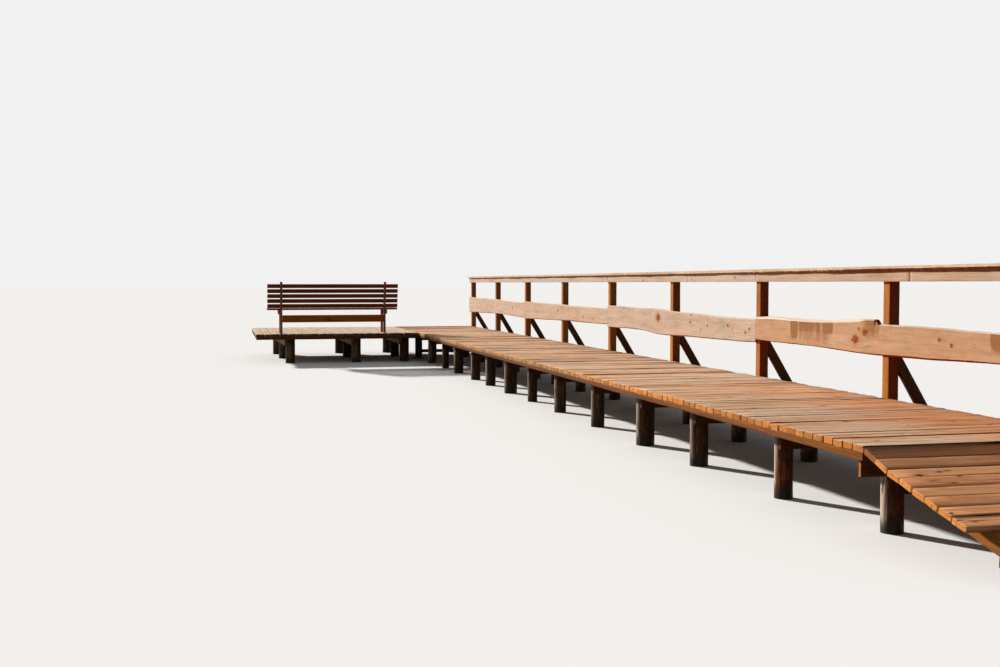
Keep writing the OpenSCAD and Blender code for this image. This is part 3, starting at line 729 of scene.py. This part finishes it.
deckBoards = {"round": 0.0035, "wear": 0.0015, "cup": 0.0014, "across": 4, "ragged": 0.0012,
              "endStep": (0.004, 0.016), "drop": 0.0072, "reach": 0.003, "shut": 0.0004,
              "open": 0.011, "openShare": 0.36}
rampBoards = {**deckBoards, "drop": 0.008, "openShare": 0.3, "endStep": (0.003, 0.01),
              "tints": (0.5, 0.35, 0.6, 0.45, 0.65, 0.4, 0.55, 0.5)}
platformBoards = {**deckBoards, "steps": 20, "drop": 0.006, "endStep": (0.006, 0.006)}
bays = range(1, 9)
for k in bays:
    timbersOf(f"deckBoards{k}", [f"deck_bay_{k}"], deckPaint, "deck_boards", deckBoards)
timbersOf("rampBoards", ["ramp_boards"], rampPaint, "deck_boards", rampBoards)
timbersOf("platformBoards", ["platform_boards"], platformPaint, "platform_boards", platformBoards)
print("boards laid")

beamLook = {"round": 0.004, "wear": 0.0015, "steps": 10, "down": 2}
longBeams = {**beamLook, "steps": 90}
sideBeams = {**beamLook, "steps": 18}
postLook = {"round": 0.004, "steps": 14, "down": 3}
stringers = ["stringer_open_side", "stringer_middle", "stringer_rail_side"]
for name, nodes, paint, look in [("stringers", stringers, framePaint, longBeams),
                                 ("pairBeams", ["crossbeams"], shadedTimberPaint, beamLook),
                                 ("postBeams", ["post_beams"], shadedTimberPaint, beamLook),
                                 ("platformBeams", ["platform_beams"], bearerPaint, sideBeams),
                                 ("platformBearers", ["platform_bearers"], shadedTimberPaint, sideBeams),
                                 ("pileTie", ["pile_tie"], shadedTimberPaint, beamLook),
                                 ("rampSill", ["ramp_sill"], framePaint, beamLook)]:
    timbersOf(name, nodes, paint, "frame_timber", look)
timbersOf("railPosts", ["rail_posts"], postPaint, "post_timber", postLook)


def braces():
    # each brace is a bar between two planes: the back of its post and the underside of its beam
    node = "post_braces"
    back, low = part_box(node)[0][0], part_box(node)[0][2]
    middle, way, width, depth = [], [], [], []
    for c in solids(node):
        head = c[np.abs(c[:, 0] - back) < reading["touch"]]
        foot = c[np.abs(c[:, 2] - low) < reading["touch"]]
        a, b = [(v.min(axis=0) + v.max(axis=0)) / 2 for v in (head, foot)]
        way.append((b - a) / np.linalg.norm(b - a))
        middle.append((a + b) / 2)
        width.append(np.ptp(foot[:, 0]) * abs(way[-1][2]))
        depth.append(np.ptp(c[:, 1]))
    middle, way, width, depth = [np.array(v) for v in (middle, way, width, depth)]
    up = np.tile([0.0, 1.0, 0.0], (len(way), 1))
    length = np.full(len(way), 0.7)            # sets only the waves, since the planes cut the ends
    planes = [(np.array([back, 0, 0]), np.array([1.0, 0, 0])),
              (np.array([0, 0, low]), np.array([0, 0, 1.0]))]
    timbers("postBraces", (middle, way, np.cross(up, way), up, length, width, depth), bracePaint,
            "frame_timber", [node], beamLook, planes)


braces()
print("frame timbers dressed")


logLook = {"steps": 16, "seatSteps": 5, "ring": 48, "rough": 0.0035, "footHeight": 1e-3}


def logs(name, nodes):
    # Peeled logs: the radius is the real one less waves that run up the stem and a few knot
    # bumps. Over the seat, points are held back to the flat that the beam lies against.
    rng = dice(name)
    cores = []
    for c in [c for node in nodes for c in solids(node)]:
        low, high = c.min(axis=0), c.max(axis=0)
        top = c[c[:, 2] > high[2] - reading["touch"]]
        ledge = c[c[:, 2] > logLook["footHeight"]][:, 2].min()
        cores.append((*(low[:2] + high[:2]) / 2, (high[0] - low[0]) / 2, high[2], ledge,
                      top[:, 0].min(), top[:, 1].min()))
    x, y, radius, top, ledge, flatX, flatY = [v[:, None, None] for v in np.array(cores).T]
    count = len(cores)
    below = ledge * np.linspace(0, 1, logLook["steps"])[:, None]
    above = ledge + (top - ledge) * np.linspace(0, 1, logLook["seatSteps"])[:, None]
    height = np.concatenate([below, above], 1)
    over = np.arange(height.shape[1])[:, None] >= logLook["steps"]
    turn = np.linspace(0, 2 * math.pi, logLook["ring"], endpoint=False)
    seed = rng.uniform(0, 40, (count, 1, 1))
    ribs = 0.25 * np.sin(turn * 5 + seed * 7 + height * 2)
    wave = ripple(rng, 0.5, turn * 3 + seed, height * 6 + seed) * 0.5 + ribs
    fine = ripple(rng, 0.5, turn * 9 + seed, height * 22 + seed)
    reach = radius - logLook["rough"] * np.clip(1 + wave + fine * 0.5, 0, 2.2)
    px = x + reach * np.cos(turn)
    py = y + reach * np.sin(turn)
    px = np.where(over, np.maximum(px, flatX), px)
    py = np.where(over, np.maximum(py, flatY), py)
    spots = np.stack([px, py, height + 0 * turn], -1)
    foot = np.concatenate([x, y, 0 * x], 2)
    ends = np.concatenate([foot, np.concatenate([x, y, top], 2)], 1)
    shift = np.concatenate([seed * 3, 0 * seed, 0 * seed], 2)
    upStem = lambda v: (v.reshape(count, -1, 3) - foot)[..., [2, 0, 1]] + shift
    ringPiece(name, spots, rng.uniform(0, 1, count), logWood, "log_wood", nodes, 35,
              {"spots": ends, "grain": upStem(ends)}, grain=upStem(spots).reshape(spots.shape))


logs("pilesOpenSide", ["piles_open_side"])
logs("pilesRailSide", ["piles_rail_side"])
logs("pilesPlatform", ["platform_piles_left", "platform_piles_middle", "platform_piles_right"])
logs("rampStakes", ["ramp_stakes"])
print("logs peeled")


def outline(node, axis, pick):
    # a packed board's stations along the walkway, and its outermost corner at each, on one axis
    corners = solids(node)[0]
    ys = np.unique(np.round(corners[:, 1], 5))
    near = lambda y: np.abs(corners[:, 1] - y) < reading["touch"]
    return ys, np.array([pick(corners[near(y), axis]) for y in ys])


column = lambda v: v[:, None]                  # one value for each station of a board
single = lambda facts: {key: values[None] for key, values in facts.items()}    # facts of one bar

# The live-edge boards: how high their wanes are and how wavy, the points on the outline's parts,
# the jump in height that marks a split strip and where it then ends, and how wide the grain runs
railBoards = {"steps": 460, "wane": 0.013, "underWane": 0.018, "edgeNoise": 0.003, "flat": 0.003,
              "arc": 8, "back": 5, "front": 16, "split": 0.02, "sheer": 0.034, "grainWide": 0.29,
              "tints": (0.95, 0.22, 0.35, 0.15)}
# Wide pale wane along the top: start, end and extra height, in metres from the shore end
paleWane = (2.88, 4.95, 0.016)
# Knots on the boards' faces: distance along from the shore end, height over the boards, radius
faceKnots = [(2.985, 0.48, 0.042), (2.83, 0.548, 0.031), (2.93, 0.576, 0.014), (7.73, 0.531, 0.048),
             (6.66, 0.597, 0.013), (6.68, 0.511, 0.019), (6.38, 0.43, 0.011), (6.18, 0.487, 0.014),
             (5.63, 0.507, 0.015), (5.52, 0.464, 0.01), (5.09, 0.489, 0.013), (5.19, 0.447, 0.013),
             (1.76, 0.535, 0.014), (1.6, 0.497, 0.017), (4.57, 0.561, 0.008), (10.42, 0.441, 0.013),
             (10.91, 0.448, 0.016), (12.3, 0.52, 0.018), (13.6, 0.47, 0.013), (15.4, 0.5, 0.018),
             (17.2, 0.46, 0.014), (18.4, 0.53, 0.015), (0.55, 0.5, 0.017), (11.7, 0.56, 0.011)]
# Bark pockets: along, height, half length, half height
barkPockets = [(2.678, 0.651, 0.018, 0.038), (2.62, 0.649, 0.018, 0.036), (2.65, 0.668, 0.034, 0.028),
               (7.73, 0.535, 0.012, 0.04)]
# Rain stains below the top edge: start, end, lowest height, strength, how soft the sides are
rainStains = [(3.42, 4.2, 0.33, 0.48, 0.012), (4.03, 4.18, 0.4, 1.3, 0.01),
              (3.6, 4.03, 0.44, 0.8, 0.01), (3.38, 3.56, 0.47, 1.3, 0.014),
              (2.57, 2.9, 0.45, 0.6, 0.045), (0.2, 1.14, 0.44, 1.3, 0.012), (1.3, 2.1, 0.52, 0.4, 0.06),
              (8.9, 9.2, 0.58, 0.8, 0.02), (16.2, 16.7, 0.57, 0.7, 0.03)]


def liveBoard(name, node, tint):
    # An unedged board: a closed outline carried along the walkway. The outline's top and bottom
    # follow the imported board's edges, less fine waves, and between back and front each edge is a
    # quarter of an ellipse, the outside of the tree
    look = railBoards
    rng = dice(name)
    low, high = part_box(node)
    ys, tops = outline(node, 2, np.max)
    _, bottoms = outline(node, 2, np.min)
    y = np.linspace(low[1], high[1], look["steps"])
    soften = np.ones(3) / 3
    edged = lambda at, v: np.pad(np.interp(y, at, v), 1, mode="edge")
    smoothed = lambda at, v: np.convolve(edged(at, v), soften, mode="valid")
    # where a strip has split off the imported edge, its broken end is made sheer
    jump = np.flatnonzero(np.diff(tops) > look["split"])
    topAt = np.insert(ys, jump + 1, ys[jump] + look["sheer"])
    tops = np.insert(tops, jump + 1, tops[jump + 1])
    waves = lambda: 0.5 + ripple(rng, 0.6, y * 5) + ripple(rng, 0.2, y * 31)
    top = column(smoothed(topAt, tops) - look["edgeNoise"] * np.clip(waves(), 0, 1.6))
    bottom = column(smoothed(ys, bottoms) + look["edgeNoise"] * np.clip(waves(), 0, 1.6))
    along = column(y) - shoreY
    step = lambda edge, soft: 1 / (1 + np.exp((edge - along) / soft))
    wide = step(paleWane[0], 0.03) * (1 - step(paleWane[1], 0.03))
    cream = np.maximum(wide, step(paleWane[1], 0.03))
    cream = np.maximum(cream, 0.35 + 0.4 * (1 - step(2.62, 0.02)))
    topWane = look["wane"] * np.clip(0.9 + ripple(rng, 0.25, column(y) * 1.3), 0.5, 1.4)
    topWane = topWane + wide * paleWane[2]
    underWane = 0.9 + ripple(rng, 0.3, column(y) * 1.7) + ripple(rng, 0.1, column(y) * 9)
    underWane = look["underWane"] * np.clip(underWane, 0.4, 1.5)
    # the outline, clockwise seen from the shore: back, lower wane, front, upper wane
    back, front = high[0], low[0]
    arc = look["arc"]
    bend = np.linspace(0, math.pi / 2, arc)
    line = np.linspace(0, 1, arc)
    belly = 0.55 * (1 - np.cos(bend)) + 0.45 * line
    lean = 0.55 * np.sin(bend) + 0.45 * line
    down = np.linspace(0, 1, look["back"] + 2)[1:-1]
    rise = np.linspace(0, 1, look["front"] + 2)[1:-1]
    slope = back - look["flat"] - lean * (back - look["flat"] - front)
    underZ = bottom + belly * underWane
    topZ = top - belly[::-1] * topWane
    faceLow, faceHigh = underZ[:, -1:], topZ[:, :1]
    z = np.concatenate([top, top + (bottom - top) * down, bottom, underZ,
                        faceLow + (faceHigh - faceLow) * rise, topZ], 1)
    backX = np.full(2 + len(down), back)
    x = np.concatenate([backX, slope, np.full(len(rise), front), slope[::-1]]) + 0 * z
    spot = np.arange(z.shape[1]) - len(backX)
    isUnder = (spot >= 0) & (spot < arc - 1)
    isFront = (spot >= arc - 1) & (spot <= arc + len(rise))
    isTop = spot > arc + len(rise)
    u = along + 0 * z
    h = z - deckTop
    # knots: each one's distance over its radius, its bulge, and how far it pushes the grain aside
    near = np.full(z.shape, 9.0)
    push = np.zeros(z.shape)
    bulge = np.zeros(z.shape)
    for ky, kz, kr in faceKnots:
        gap = np.sqrt(((u - ky) * 0.65) ** 2 + (h - kz) ** 2) / kr
        aside = np.sign(h - kz) * kr * 0.9 * np.exp(-((u - ky) / (kr * 3.5)) ** 2)
        near = np.minimum(near, gap)
        push += aside * np.exp(-((h - kz) / (kr * 4)) ** 2)
        bulge += 0.002 * np.exp(-gap ** 2 / 3)
    hollow = 0.0008 + ripple(rng, 0.0006, u * 5, h * 30) + np.clip(0.0015 - bulge, 0, 1)
    x = x + hollow * isFront
    pocket = np.zeros(z.shape)
    for py, pz, halfLong, halfHigh in barkPockets:
        gap = ((u - py) / halfLong) ** 2 + ((h - pz) / halfHigh) ** 4
        pocket = np.maximum(pocket, np.exp(-gap))
    stained = np.zeros(z.shape)
    for y0, y1, zLow, strength, soft in rainStains:
        inside = 1 / (1 + np.exp(-(u - y0) / soft)) / (1 + np.exp((u - y1) / soft))
        fade = np.clip((h - zLow) / 0.12, 0, 1) ** 0.7
        stained = np.maximum(stained, inside * fade * strength * isFront)
    across = (z - (top + bottom) / 2) / (top - bottom) * look["grainWide"] - push
    grain = np.stack([u + rng.uniform(0, 40), across, x - back - 0.08], -1)
    facts = {"spots": np.stack([x, column(y) + 0 * z, z], -1), "grain": grain, "wane": isTop + 0 * z,
             "cream": cream + 0 * z, "under": isUnder + 0 * z, "knot": near, "pocket": pocket,
             "stained": stained}
    ringPiece(name, tint=tint, paint=livePaint, slot="sunlit_rail_wood", replaced=[node], smooth=50,
              **single(facts))


for k, tint in enumerate(railBoards["tints"], 1):
    liveBoard(f"middleRail{k}", f"middle_rail_{k}", tint)
print("middle rails shaped")

faceLook = {"wear": 0.001, "steps": 60, "across": 4, "tints": (0.9, 0.75, 0.3, 0.35, 0.2, 0.3)}
timbersOf("faceBoards", [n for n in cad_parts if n.startswith("face_board")], railPaint,
          "sunlit_rail_wood", faceLook)

# Bark stays on the lower part of the front: its share of the thickness and how far it slopes in,
# at the shore end and at the lake end
capBoards = {"steps": 420, "barkHigh": (0.36, 0.12), "barkIn": (0.007, 0.004), "arris": 0.003,
             "barkMarks": (1, 1, 1, 1, 0.8, 0.1, 0, 0)}


def capBoard(name, node):
    # The cap plank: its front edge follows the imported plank, less fine waves, and slopes in
    # towards the underside as the outside of the tree does
    look = capBoards
    rng = dice(name)
    (_, yLow, bottom), (back, yHigh, top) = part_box(node)
    ys, fronts = outline(node, 0, np.min)
    y = np.linspace(yLow, yHigh, look["steps"])
    waves = 0.5 + ripple(rng, 0.7, y * 8) + ripple(rng, 0.5, y * 31)
    front = column(np.interp(y, ys, fronts) + 0.003 * np.clip(waves, 0, 2))
    y = column(y)
    gone = np.clip((y - shoreY - 3.0) / 3, 0, 1)
    barkHigh, barkIn = [a + (b - a) * gone for a, b in (look["barkHigh"], look["barkIn"])]
    split = barkHigh * np.clip(1 + ripple(rng, 0.12, y * 2.3) + ripple(rng, 0.08, y * 11), 0.7, 1.3)
    wane = barkIn * np.clip(0.95 + ripple(rng, 0.2, y * 1.7) + ripple(rng, 0.12, y * 7), 0.5, 1.3)
    # the outline, clockwise seen from the shore: top, back edge, underside, wane
    arris = look["arris"]
    t = np.concatenate([split * np.linspace(0, 1, 5), split + 0.08, split + (1 - split) * [[0.5, 1.0]]], 1)
    waneZ = bottom + (top - bottom - arris) * t
    waneX = front + wane * np.clip(1 - t / split, 0, 1) ** 0.8 + 0.0012 * (1 - t)
    topX = front + arris + (back - arris - front - arris) * np.linspace(0, 1, 8)
    topZ = top - 0.0006 * (1 + ripple(rng, 1.0, y * 6 + 0 * topX, topX * 60))
    underX = back - arris + (front + wane - back + arris) * np.linspace(0, 1, 8)[1:-1]
    row = lambda *values: np.tile(values, (len(y), 1))
    z = np.concatenate([topZ, row(top - arris, bottom + arris, bottom), bottom + 0 * underX, waneZ], 1)
    x = np.concatenate([topX, row(back, back, back - arris), underX, waneX], 1)
    marks = np.zeros(z.shape[1])
    marks[-len(look["barkMarks"]):] = look["barkMarks"]
    along = y + 0 * z
    grain = np.stack([along + rng.uniform(0, 40), x - back + 0.06, z - bottom + 0.07], -1)
    facts = {"spots": np.stack([x, along, z], -1), "grain": grain, "bark": marks + 0 * z}
    ringPiece(name, tint=rng.uniform(0.2, 0.8), paint=capPaint, slot="sunlit_rail_wood", replaced=[node],
              smooth=45, **single(facts))


for node in sorted(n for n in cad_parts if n.startswith("rail_cap")):
    capBoard("railCap" + node[9:], node)
print("cap laid")

slatLook = {"round": 0.004, "wear": 0.0006, "steps": 14, "across": 2}
timbersOf("benchBack", ["bench_back"], slatPaint, "bench_slats", slatLook)
timbersOf("benchSeat", ["bench_seat"], slatPaint, "bench_slats", slatLook)
timbersOf("benchStretcher", ["bench_stretcher"], stretcherPaint, "bench_timber", slatLook)

softLook = {"edge": 0.004, "segments": 2, "join": 1e-5, "flat": 0.01}


def softened(name, node, paint):
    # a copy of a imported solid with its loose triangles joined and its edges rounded
    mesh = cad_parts[node].data.copy()
    mesh.name = name
    work = bmesh.new()
    work.from_mesh(mesh)
    bmesh.ops.remove_doubles(work, verts=work.verts, dist=softLook["join"])
    bmesh.ops.dissolve_limit(work, angle_limit=softLook["flat"], verts=work.verts, edges=work.edges)
    work.to_mesh(mesh)
    work.free()
    mesh.materials.clear()
    piece = placed(name, mesh, paint, [node])
    trim = piece.modifiers.new("edges", "BEVEL")
    trim.width = softLook["edge"]
    trim.segments = softLook["segments"]
    trim.limit_method = "ANGLE"


softened("benchFrameLeft", "bench_frame_left", benchPaint)
softened("benchFrameRight", "bench_frame_right", benchPaint)
softened("rampJoists", "ramp_joists", joistPaint)
print("bench and ramp joists dressed")


# Nail heads, and how far they lie from the boards' ends and to each side of a board's middle
nailLook = {"radius": 0.0042, "height": 0.0012, "sides": 8, "root": 0.003, "fromEnd": 0.075,
            "spread": 0.028, "stray": 0.006}


def nails():
    # flat round heads: a fan over a short ring at each place, laid on the walkway boards' faces
    name = "deckNails"
    rng = dice(name)
    look = nailLook
    middle, way, side, up, length, width, depth = bars([f"deck_bay_{k}" for k in bays])
    sink = np.concatenate([sunk[f"deckBoards{k}"] for k in bays], axis=2)
    lines = (edgeX + look["fromEnd"], (edgeX + boardEndX) / 2, boardEndX - look["fromEnd"])
    places = [(x - middle[0, 0], s) for x in lines for s in (-look["spread"], look["spread"])]
    spots = []
    for offset, spread in places:
        height = depth / 2 - between(sink, offset / length + 0.5, spread / width + 0.5)
        spots.append(middle + way * offset + side * spread + up * height[:, None])
    spots = np.concatenate(spots)
    normal, ax, ay = [np.tile(v, (len(places), 1)) for v in (up, way, side)]
    jitter = rng.uniform(-look["stray"], look["stray"], (len(spots), 2))
    spots = spots + ax * jitter[:, :1] + ay * jitter[:, 1:] - normal * look["height"]
    turn = np.linspace(0, 2 * math.pi, look["sides"], endpoint=False)[:, None]
    circle = ax[:, None] * np.cos(turn) + ay[:, None] * np.sin(turn)
    low = spots[:, None] + circle * look["radius"] - normal[:, None] * look["root"]
    high = spots[:, None] + circle * look["radius"] * 0.8 + normal[:, None] * look["height"]
    ends = [spots - normal * look["root"], spots + normal * look["height"] * 1.2]
    rows = np.concatenate([low, high, np.stack(ends, 1)], 1)
    newPiece(name, rows.reshape(-1, 3), ringFaces(len(spots), 2, look["sides"]), nailSteel,
             "frame_timber", (), 50)


nails()
print("nails driven")


stage = {"floor": 0.98, "bounce": 0.2, "background": 0.88, "size": 300.0}


def seenDirectly(p):
    # 1 where the camera, a gloss or a clear material looks at the backdrop, 0 for the light it gives
    camera, gloss, clear = [p.node("ShaderNodeLightPath", None, None, f"Is {kind} Ray")
                            for kind in ("Camera", "Glossy", "Transmission")]
    return p.maths("MAXIMUM", camera, p.maths("MAXIMUM", gloss, clear))


def stageFloor():
    # a pale floor that takes the shadow, and that throws little light up, as dark water does
    p = Paint("paleFloor")
    dim, pale = [(stage[k],) * 3 for k in ("bounce", "floor")]
    paint = p.finish(p.mix(seenDirectly(p), dim, pale), 0.9, **{"Specular IOR Level": 0.0})
    size = stage["size"]
    corners = [(x, y, 0) for x, y in ((-size, -size), (size, -size), (size, size), (-size, size))]
    mesh = bpy.data.meshes.new("floor")
    mesh.from_pydata(corners, [], [(0, 1, 2, 3)])
    mesh.materials.append(paint)
    floor = bpy.data.objects.new("floor", mesh)
    scene.collection.objects.link(floor)


lightLook = {"sun": 6.1, "soft": 2.5, "colour": (1.0, 0.97, 0.93), "from": (-1.29, 2.3, 1.0), "sky": 0.22}


def lights():
    key = bpy.data.lights.new("key", "SUN")
    key.energy = lightLook["sun"]
    key.angle = math.radians(lightLook["soft"])
    key.color = lightLook["colour"]
    lamp = bpy.data.objects.new("key", key)
    toward = np.array(lightLook["from"]) / np.linalg.norm(lightLook["from"])
    lamp.rotation_euler = (math.acos(toward[2]), 0, math.atan2(toward[0], -toward[1]))
    scene.collection.objects.link(lamp)
    world = bpy.data.worlds.new("studio")
    scene.world = world
    world.use_nodes = True
    p = Paint(tree=world.node_tree)
    level = lightLook["sky"] + seenDirectly(p) * (stage["background"] - lightLook["sky"])
    p.feed(p.tree.nodes["Background"].inputs, {"Strength": level, "Color": (1, 1, 1, 1)})


# The camera that fits the photo: its place from the walkway's corner and its turns, in degrees
cameraLook = {"lens": 40.97, "sensor": 36.0, "far": 800, "aside": -3.726, "back": -6.114,
              "over": 0.98, "yaw": 13.59, "pitch": 2.54}


def camera():
    look = cameraLook
    view = bpy.data.cameras.new("camera")
    view.sensor_width = look["sensor"]
    view.lens = look["lens"]
    view.clip_end = look["far"]
    eye = bpy.data.objects.new("camera", view)
    eye.location = (edgeX + look["aside"], shoreY + look["back"], deckTop + look["over"])
    eye.rotation_euler = (math.radians(90 - look["pitch"]), 0, -math.radians(look["yaw"]))
    scene.collection.objects.link(eye)
    scene.camera = eye


stageFloor()
lights()
camera()
scene.view_settings.view_transform = "Standard"

bpy.context.view_layer.update()
